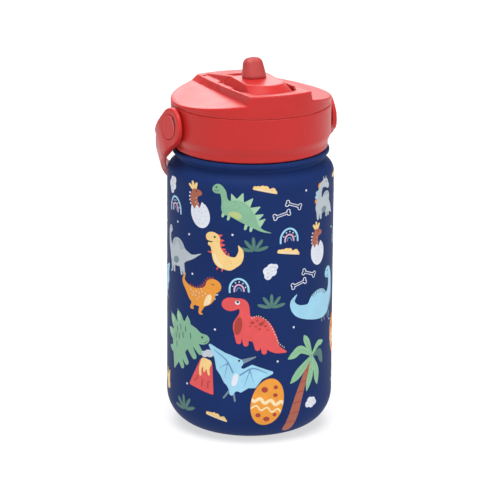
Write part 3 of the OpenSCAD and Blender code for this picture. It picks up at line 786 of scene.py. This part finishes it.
class Print:
    """Printed shapes on the bottle, gathered by ink into one mesh each."""

    def __init__(self):
        self.inks = {}

    def add(self, motif, along, height, turn=0, size=1, flip=False):
        """Lays a motif out flat, each of its shapes a little above the one before."""
        for level, (ink, shape) in enumerate(motif()):
            polygons, segments = mesh_shape(shape.placed(along, height, turn, size, flip))
            top = INK + INK_STEP * level
            faces = [raised(g, top) for g in polygons if len(g)]
            for s in segments:
                a, b = s[:, 0], s[:, 1]
                corners = [raised(b, top), raised(a, top), raised(a, -INK), raised(b, -INK)]
                faces.append(np.stack(corners, 1))
            if faces:
                self.inks.setdefault(ink, []).append(weld(faces))

    def build(self):
        """One mesh object for each ink, wrapped round the bottle."""
        made = {}
        for ink, parts in self.inks.items():
            points, faces, start = [], [], 0
            for keys, part in parts:
                points.append(keys)
                faces += [[i + start for i in f] for f in part]
                start += len(keys)
            where, out = on_body(*np.concatenate(points).T)
            made[ink] = make_object("print_" + ink, where, faces, out)
        return made


# Each row: motif, place along the wall, height, turn in degrees, size, and True where it is mirrored
LAYOUT = [
    (plated_walker, -4, 107, 0, 0.98),
    (cloud, -42.6, 112.2, 62, 1.05),
    (rainbow, -39.8, 101.4, 0, 1.1),
    (hatchling, -24.6, 106.4, 8, 0.98),
    (mound, 6.4, 115.2, -13, 0.98),
    (bones, 16.8, 106, 4, 0.92),
    (rainbow, 17.6, 92.2, 2, 1),
    (upright_walker, 38.4, 107.6, 0, 0.95),
    (hatchling, 33.4, 87.6, -4, 0.92),
    (fern, 1.8, 88.2, 2, 0.92),
    (mound, 17.4, 86.6, -10, 0.98),
    (humped_walker, -34.6, 82.2, 0, 0.9),
    (sitting_lizard, -11.4, 87.4, 0, 0.96),
    (cloud, 8.9, 79.2, 52, 0.98),
    (bones, 25.6, 74, 4, 0.92),
    (strolling_lizard, -23.6, 67, 0, 1),
    (rainbow, -4.6, 70.6, 4, 1),
    (winged_glider, -55, 64.5, 30, 0.8),
    (paddling_walker, 33.6, 63.2, 2, 0.98),
    (fern, 9.6, 62.4, -2, 0.92),
    (big_walker, 1.6, 54, 0, 0.98),
    (plated_grazer, -35.4, 45.6, 38, 1.12, True),
    (fire_mountain, -20.6, 32.6, -12, 0.98),
    (winged_glider, -6, 31, -16, 1.02),
    (spotted_egg, 8.2, 19.6, -12, 0.98),
    (palm, 26.6, 26.4, 0, 0.98),
    (cloud, 30.6, 16.2, 0, 0.86),
    (fern, -32.4, 11.8, 4, 1),
    (mound, -14.8, 11.8, -16, 0.92),
    (footprint, -49, 21, 20, 1.3),
    # round the side and the back
    (mound, 54, 114, -8, 0.98),
    (winged_glider, 66, 103, 12, 0.8, True),
    (hatchling, 87, 104, 6, 0.95, True),
    (plated_walker, 108, 104.5, 0, 0.98, True),
    (cloud, 127, 112, 40, 1),
    (bones, 132, 101, 4, 0.92),
    (upright_walker, 150, 104, 0, 1, True),
    (fern, 168, 98, 4, 0.92),
    (rainbow, 55, 85, 2, 1.05),
    (sitting_lizard, 74, 84, 0, 1, True),
    (fern, 92, 82, -4, 0.92),
    (humped_walker, 113, 83, 0, 0.9, True),
    (rainbow, 133, 81, 0, 1),
    (strolling_lizard, 151, 84, 0, 0.98, True),
    (mound, 169, 82, -8, 0.98),
    (cloud, 58, 66, 30, 1),
    (big_walker, 82, 60, 0, 0.98, True),
    (bones, 104, 62, 8, 0.92),
    (paddling_walker, 131, 62, 0, 0.95, True),
    (hatchling, 154, 62, -6, 0.92),
    (spotted_egg, 54, 42, 14, 0.85),
    (fern, 57, 20, 6, 1),
    (fire_mountain, 76, 32, 8, 1.05),
    (plated_grazer, 99, 38, 0, 1.05),
    (palm, 127, 29, 0, 0.95, True),
    (sitting_lizard, 147, 32, 0, 1.05),
    (rainbow, 161, 42, 2, 1),
    (footprint, 166, 26, -16, 1.2),
    (mound, 88, 12.5, -6, 0.95),
    (cloud, 108, 14, 0, 0.9),
    (fern, 150, 12, 0, 0.95),
]
# Small dots: place along the wall, height
STARS = (
    (26.2, 113.2), (-7.6, 95.4), (-29.4, 92.6), (-37.8, 96.4), (-27.4, 75.2), (-15.4, 52), (48, 92),
    (-44, 72.8), (20.2, 52.6), (46.4, 50.4), (-52.6, 93.2), (12.6, 38), (-30.6, 24.4),
    (76, 113), (97, 114), (120, 93), (142, 114), (64, 75), (101, 72), (142, 72),
    (66, 51), (116, 49), (143, 48), (172, 72), (70, 14), (170, 50), (160, 113),
)


def print_the_bottle():
    """All the figures and dots, as one object for each ink."""
    work = Print()
    for motif, *place in LAYOUT:
        work.add(motif, *place)
    for along, height in STARS:
        work.add(star_dot, along, height)
    made = work.build()
    for obj in made.values():
        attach(obj, "bottle")
    return made


# --- the coated body ---


def body_profile():
    """Closed outline of the outer shell, with its bends and rolled edges rounded."""
    bend = 5.5
    bend_x = BODY_R - bend
    edge_roll = 0.45
    step_z = SHOULDER_Z + 6.2
    bends = (  # radius, and rise over the shoulder
        (WAIST_R + 1.1, 5.6), (WAIST_R, 6.9), (WAIST_R, 7.7), (BEAD_R - 0.6, 8.7), (BEAD_R, 9.4),
        (BEAD_R, 10.4), (BEAD_R - 0.5, 11), (NECK_R, 11),
    )
    neck = rounded([(r, SHOULDER_Z + rise) for r, rise in bends] + [(NECK_R, RIM_Z)], edge_roll)
    outside = arc(FOOT_R, FOOT_FILLET, FOOT_FILLET, WELD_ANGLE, 0, 24)
    outside += [(BODY_R, z) for z in np.linspace(FOOT_FILLET, SHOULDER_Z, 22)[1:-1]]
    outside += arc(bend_x, SHOULDER_Z, bend, 0, 60, 12)
    inside = [(NECK_R - SHELL_WALL, RIM_Z), (NECK_R - SHELL_WALL, step_z), (WAIST_R - SHELL_WALL, step_z)]
    inside += arc(bend_x, SHOULDER_Z, bend - SHELL_WALL, 64, 0, 8)
    inside += arc(FOOT_R, FOOT_FILLET, FOOT_FILLET - SHELL_WALL, 0, WELD_ANGLE, 12)
    return outside + neck[1:] + inside


def thread_ridge():
    """Helical ridge round the neck, tapering at both ends."""
    steps = int(THREAD_STEPS * NECK_TURNS)
    lead = 7  # steps over which it tapers
    sunk = 0.4  # how far its root lies inside the neck
    root, crest = 0.85, 0.45  # half widths
    section = ((-sunk, -root), (THREAD_DEPTH, -crest), (THREAD_DEPTH, crest), (-sunk, root))
    points, faces = [], []
    for i in range(steps + 1):
        turn = 2 * math.pi * NECK_TURNS * i / steps
        rise = min(1, 0.25 + 0.75 * min(i, steps - i) / lead)
        for out, up in section:
            r = NECK_R - sunk + (out + sunk) * rise
            z = THREAD_Z + THREAD_PITCH * NECK_TURNS * i / steps + up
            points.append((r * math.cos(turn), r * math.sin(turn), z))
    for i in range(steps):
        a, b = 4 * i, 4 * i + 4
        faces += [(a + j, b + j, b + (j + 1) % 4, a + (j + 1) % 4) for j in range(4)]
    last = 4 * steps
    return points, faces + [(3, 2, 1, 0), (last, last + 1, last + 2, last + 3)]


def build_body():
    """The coated shell with its thread, in place of the CAD's outer shell."""
    points, faces = revolve(body_profile(), ROUND_STEPS)
    ridge, ridge_faces = thread_ridge()
    start = len(points)
    points = np.vstack([points, ridge])
    faces = [tuple(reversed(f)) for f in faces] + [tuple(i + start for i in f) for f in ridge_faces]
    body = make_object("coated_shell", points, faces)
    body.data.set_sharp_from_angle(angle=math.radians(SHELL_CREASE))
    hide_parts("outer_shell")
    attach(body, "bottle")
    return body


# --- softened mouldings ---

# For each moulded node: the size of the even mesh in millimetres, and the rounds of smoothing
SOFTENED = {
    "lid_collar": (0.4, 3), "lid_cover": (0.42, 4), "spout_rocker": (0.3, 5), "mouthpiece": (0.22, 4),
    "handle_loop": (0.35, 9), "handle_cap_left": (0.22, 4), "handle_cap_right": (0.22, 4),
}


def soften(node, voxel, rounds):
    """Rounds the edges of a moulded CAD node with modifiers, and leaves its mesh alone."""
    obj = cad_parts[node]
    remesh = obj.modifiers.new("even_mesh", "REMESH")
    remesh.mode = "VOXEL"
    remesh.voxel_size = voxel * MM
    remesh.use_smooth_shade = True
    ease = obj.modifiers.new("eased_edges", "SMOOTH")
    ease.factor = 0.5
    ease.iterations = rounds


def crisp(node):
    """Smooth shading on a CAD node's round faces, with its real edges kept."""
    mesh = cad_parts[node].data
    mesh.shade_smooth()
    mesh.set_sharp_from_angle(angle=math.radians(NODE_CREASE))


# --- material tools ---


def linear(*srgb):
    """Colour from sRGB values of 0 to 255."""
    out = [(v / 255 / 12.92) if v <= 10 else ((v / 255 + 0.055) / 1.055) ** 2.4 for v in srgb]
    return (*out, 1.0)


def shade(colour, factor):
    """The colour made that much brighter."""
    return (*[min(1.0, c * factor) for c in colour[:3]], 1.0)


class Finish:
    """A material in the making: its nodes, its shader and the place on the piece."""

    def __init__(self, name):
        self.material = bpy.data.materials.new(name)
        self.material.use_nodes = True
        self.tree = self.material.node_tree
        self.shader = next(n for n in self.tree.nodes if n.type == "BSDF_PRINCIPLED")
        self.where = self.node("TexCoord").outputs["Object"]

    def fill(self, node, **inputs):
        """Sets each input of that name, _ standing for a space, or links it to an output."""
        for key, value in inputs.items():
            socket = node.inputs[key.replace("_", " ")]
            if isinstance(value, bpy.types.NodeSocket):
                self.tree.links.new(value, socket)
            else:
                socket.default_value = value

    def node(self, kind, **inputs):
        """A new node with its inputs filled."""
        made = self.tree.nodes.new("ShaderNode" + kind)
        self.fill(made, **inputs)
        return made

    def combine(self, kind, operation, first, second):
        """What a node works out from two outputs."""
        made = self.node(kind)
        made.operation = operation
        self.tree.links.new(first, made.inputs[0])
        self.tree.links.new(second, made.inputs[1])
        return made.outputs["Value"]

    def noise(self, scale, detail, rough=0.55, where=None):
        """Noise of that scale, in bumps per metre."""
        made = self.node("TexNoise", Vector=where or self.where, Scale=scale, Detail=detail, Roughness=rough)
        return made.outputs["Fac"]

    def ramp(self, value, low, high):
        """One colour running into another over a value, each as (place, colour)."""
        made = self.node("ValToRGB", Fac=value)
        for stop, (place, colour) in zip(made.color_ramp.elements, (low, high)):
            stop.position = place
            stop.color = colour
        return made.outputs["Color"]

    def spread(self, value, low, high):
        """Maps 0.3 to 0.7 of a value on to low to high."""
        made = self.node("MapRange", Value=value, From_Min=0.3, From_Max=0.7, To_Min=low, To_Max=high)
        return made.outputs["Result"]

    def bump(self, height, depth, strength):
        """Bump from a height output, its depth in millimetres."""
        made = self.node("Bump", Height=height, Distance=depth * MM, Strength=strength)
        self.fill(self.shader, Normal=made.outputs["Normal"])

    def edge_wear_and_highlight(self, reach):
        """Mask of wear and painted edge highlight: within that reach of an edge, in millimetres, broken up by
        noise.
        """
        unmarked, worn_and_highlit = 0.995, 0.93  # likeness of the true and the rounded normal
        rounding = self.node("Bevel", Radius=reach * MM)
        rounding.samples = 6
        true = self.node("NewGeometry").outputs["Normal"]
        likeness = self.combine("VectorMath", "DOT_PRODUCT", true, rounding.outputs["Normal"])
        edges = self.node("MapRange", Value=likeness, From_Min=unmarked, From_Max=worn_and_highlit)
        patches = self.spread(self.noise(scale=260, detail=4, rough=0.65), 0.3, 1.0)
        return self.combine("Math", "MULTIPLY", edges.outputs["Result"], patches)

    def colours(self, tone, rubbed_and_highlit, reach):
        """The tone all over, and along the edges a paler colour for wear and painted highlight."""
        made = self.node("Mix")
        made.data_type = "RGBA"
        self.fill(made, Factor=self.edge_wear_and_highlight(reach), A=tone, B=rubbed_and_highlit)
        self.fill(self.shader, Base_Color=made.outputs["Result"])


# --- kinds of finish ---


def mottled(name, colour, contrast, rough, grain, depth, broad=55, specular=0.5, rubbed_and_highlit=None, reach=0.9):
    """A coat or moulding: slightly uneven colour and gloss over a fine grain, with paler edges of wear and
    painted highlight.
    """
    f = Finish(name)
    cloudy = f.noise(broad, detail=4)
    fine = f.noise(grain, detail=2)
    tone = f.ramp(cloudy, (0.3, shade(colour, 1 - contrast)), (0.7, shade(colour, 1 + contrast)))
    f.colours(tone, rubbed_and_highlit or shade(colour, 1.2), reach)
    f.fill(f.shader, Roughness=f.spread(cloudy, rough - 0.04, rough + 0.05), Specular_IOR_Level=specular)
    f.bump(fine, depth, strength=0.35)
    return f.material


def brushed(name, colour, rough, around):
    """Brushed or turned steel: fine lines round the axis, or straight along it."""
    f = Finish(name)
    stretch = f.node("Mapping", Vector=f.where, Scale=(1, 1, 60) if around else (60, 60, 1))
    lines = f.noise(60, detail=5, rough=0.7, where=stretch.outputs["Vector"])
    tone = f.ramp(lines, (0.25, shade(colour, 0.82)), (0.75, shade(colour, 1.08)))
    f.colours(tone, shade(colour, 1.3), reach=0.5)
    f.fill(f.shader, Roughness=f.spread(lines, rough - 0.07, rough + 0.1), Metallic=1)
    f.bump(lines, depth=0.01, strength=0.3)
    return f.material


def silicone(name, colour, rough):
    """Soft silicone with a fine haze and dust-like mottling."""
    f = Finish(name)
    fine = f.noise(2600, detail=2)
    tone = f.ramp(f.noise(120, detail=4), (0.3, shade(colour, 0.93)), (0.7, shade(colour, 1.06)))
    f.colours(tone, shade(colour, 1.25), reach=0.6)
    gloss = f.spread(fine, rough - 0.05, rough + 0.06)
    f.fill(f.shader, Roughness=gloss, Sheen_Weight=0.12, Sheen_Roughness=0.5)
    f.bump(fine, depth=0.012, strength=0.3)
    return f.material


# --- the materials ---

NAVY = linear(27, 47, 97)
INKS = {
    "green": (138, 190, 156), "pale_green": (168, 212, 176), "lime": (190, 208, 140),
    "grey": (192, 202, 210), "pale_grey": (205, 212, 224), "slate": (118, 142, 158),
    "yellow": (255, 217, 144), "cream": (255, 232, 184), "red": (234, 86, 88),
    "orange": (244, 160, 54), "rust": (176, 62, 52), "blue": (164, 220, 246),
    "pale_blue": (196, 224, 240), "sky": (104, 150, 200), "white": (234, 238, 250),
    "dark": (36, 32, 40), "brown": (178, 100, 78), "rose": (226, 178, 204),
    "fern": (78, 122, 116), "moss": (122, 158, 134), "leaf": (146, 200, 156),
}


def navy_powder_coat():
    worn_and_highlit = linear(70, 92, 150)
    return mottled("navy_powder_coat", NAVY, 0.07, 0.5, grain=1500, depth=0.02, specular=0.04, rubbed_and_highlit=worn_and_highlit)


def base_coat():
    worn_and_highlit = linear(120, 124, 136)
    return mottled("base_coat", NAVY, 0.09, 0.5, grain=1500, depth=0.02, specular=0.15, rubbed_and_highlit=worn_and_highlit)


def red_plastic():
    # the paler edge colour is part wear and part painted highlight along the lid's edges
    red, worn_and_highlit = linear(190, 40, 38), linear(222, 96, 90)
    return mottled("red_plastic", red, 0.035, 0.36, 1900, 0.012, broad=70, specular=0.25, rubbed_and_highlit=worn_and_highlit)


def white_plastic():
    return mottled("white_plastic", linear(228, 230, 233), 0.03, 0.36, grain=1500, depth=0.01)


def clear_straw():
    return mottled("clear_straw", linear(226, 232, 236), 0.02, 0.2, grain=900, depth=0.006)


def solder_glass():
    return mottled("solder_glass", linear(120, 122, 128), 0.12, 0.3, grain=900, depth=0.02)


def getter_metal():
    return mottled("getter_metal", linear(84, 86, 92), 0.2, 0.7, grain=1400, depth=0.05)


def red_silicone():
    return silicone("red_silicone", linear(176, 56, 54), rough=0.52)


def white_silicone():
    return silicone("white_silicone", linear(226, 226, 222), rough=0.55)


def brushed_steel():
    return brushed("brushed_steel", linear(200, 200, 203), rough=0.3, around=True)


def base_disc_steel():
    return brushed("base_disc_steel", linear(196, 197, 200), rough=0.34, around=False)


def pin_steel():
    return brushed("pin_steel", linear(190, 191, 196), rough=0.28, around=False)


def ink_material(ink):
    colour = shade(linear(*INKS[ink]), INK_TONE)
    return mottled("ink_" + ink, colour, 0.05, 0.5, 1500, 0.015, broad=240, specular=0.3, reach=0.15)


def floor_paper():
    """Pale paper, lit from below."""
    grey = (0.34, 0.34, 0.34, 1)
    paper = mottled("floor_paper", grey, 0.004, 0.9, grain=300, depth=0.02, broad=3, specular=0.1)
    shader = next(n for n in paper.node_tree.nodes if n.type == "BSDF_PRINCIPLED")
    shader.inputs["Emission Color"].default_value = (1, 1, 1, 1)
    shader.inputs["Emission Strength"].default_value = TABLE_LIGHT
    return paper


FINISHES = {
    base_coat: ("outer_base",),
    brushed_steel: ("inner_flask",),
    base_disc_steel: ("base_disc",),
    solder_glass: ("vacuum_seal",),
    getter_metal: ("getter_pellet",),
    white_silicone: ("lid_gasket", "port_seal", "vent_valve"),
    white_plastic: ("lid_liner", "straw_connector"),
    clear_straw: ("straw",),
    pin_steel: ("spout_pin_left", "spout_pin_right", "handle_pivot_left", "handle_pivot_right"),
    red_silicone: ("mouthpiece",),
    red_plastic: (
        "lid_collar", "lid_cover", "spout_rocker", "handle_cap_left", "handle_cap_right", "handle_loop",
    ),
}


def dress(body, printed):
    """Gives every piece its material."""
    body.data.materials.append(navy_powder_coat())
    for make, nodes in FINISHES.items():
        material = make()
        for node in nodes:
            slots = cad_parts[node].data.materials
            slots.clear()
            slots.append(material)
    for ink, obj in printed.items():
        obj.data.materials.append(ink_material(ink))


# --- studio ---


def light(name, kind, way, place=(0, 0, 0)):
    """A light that shines that way. Gives its data."""
    data = bpy.data.lights.new(name, kind)
    obj = bpy.data.objects.new(name, data)
    obj.location = place
    obj.rotation_euler = Vector(way).to_track_quat("-Z", "Y").to_euler()
    SCENE.collection.objects.link(obj)
    return data


def back_panel():
    """A soft panel behind, aimed at the lid."""
    place = Vector((0.6, 1.35, 0.85))
    width, height = 0.9, 0.8
    data = light("back_panel", "AREA", Vector((0, 0, 0.12)) - place, place)
    data.shape = "RECTANGLE"
    data.size, data.size_y = width, height
    data.energy = BACK_LIGHT * math.pi * width * height


def soft_light(name, way, strength):
    """Soft even light coming from one side."""
    data = light(name, "SUN", way)
    data.energy = strength
    data.angle = math.radians(SUN_SPREAD)


def light_table():
    """The floor, a square sheet."""
    half = 4.0
    corners = [(-half, -half, 0), (half, -half, 0), (half, half, 0), (-half, half, 0)]
    floor = bpy.data.meshes.new("floor")
    floor.from_pydata(corners, [], [(0, 1, 2, 3)])
    floor_obj = bpy.data.objects.new("floor", floor)
    SCENE.collection.objects.link(floor_obj)
    floor.materials.append(floor_paper())


def studio():
    """Surroundings, a panel behind, and two soft lights."""
    world = bpy.data.worlds.new("studio")
    world.use_nodes = True
    background = next(n for n in world.node_tree.nodes if n.type == "BACKGROUND")
    background.inputs["Color"].default_value = (1, 1, 1, 1)
    background.inputs["Strength"].default_value = WORLD_LIGHT
    SCENE.world = world
    back_panel()
    soft_light("key", (0.12, 0.16, -1.0), KEY_LIGHT)
    soft_light("fill", (-0.15, 1.0, -0.5), FILL_LIGHT)


def camera():
    """The photo's camera."""
    target = Vector((0, 0, VIEW_HEIGHT))
    level = math.cos(VIEW_RISE)
    back = Vector((math.sin(VIEW_TURN) * level, -math.cos(VIEW_TURN) * level, math.sin(VIEW_RISE)))
    roll = Matrix.Rotation(-VIEW_ROLL, 4, "Z").to_quaternion()
    data = bpy.data.cameras.new("camera")
    data.sensor_width = VIEW_SENSOR
    data.lens = VIEW_LENS
    data.clip_start, data.clip_end = 0.05, 20.0
    obj = bpy.data.objects.new("camera", data)
    obj.location = target + back * VIEW_DISTANCE
    obj.rotation_mode = "QUATERNION"
    obj.rotation_quaternion = (-back).to_track_quat("-Z", "Y") @ roll
    SCENE.collection.objects.link(obj)
    SCENE.camera = obj


# --- the whole ---

body = build_body()
printed = print_the_bottle()
dress(body, printed)
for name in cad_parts:
    if name in SOFTENED:
        soften(name, *SOFTENED[name])
    elif name != "outer_shell":
        crisp(name)
light_table()
studio()
camera()
SCENE.view_settings.view_transform = "Standard"
